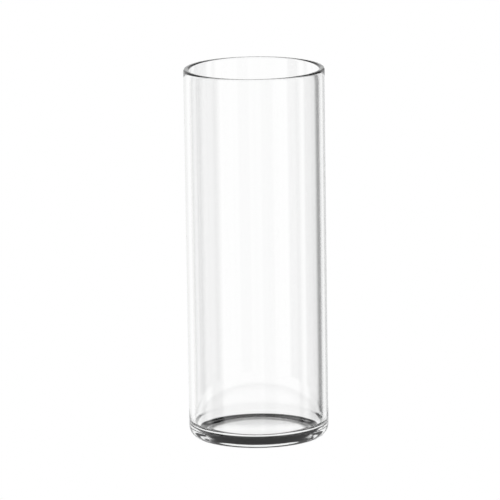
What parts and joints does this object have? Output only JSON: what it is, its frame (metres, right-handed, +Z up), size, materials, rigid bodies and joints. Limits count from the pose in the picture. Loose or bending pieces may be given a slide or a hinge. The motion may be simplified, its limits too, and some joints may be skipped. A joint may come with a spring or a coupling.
{
  "type": "glass cylinder vase",
  "caption": "Tall straight-sided clear glass cylinder vase with a heavy base, rounded heel and fire-polished open rim, for cut flowers and stems.",
  "frame": {"origin": "centre of the standing face, where the base meets the table", "axes": "+Z up along the cylinder's axis towards the open mouth; the body is round, so X and Y are interchangeable"},
  "size_m": [0.1, 0.1, 0.265],
  "materials": {
    "clear_glass": "clear colourless soda-lime glass, pressed and fire-polished, smooth and glossy"
  },
  "bodies": {
    "root": {"vase_body": "clear_glass"}
  },
  "joints": []
}
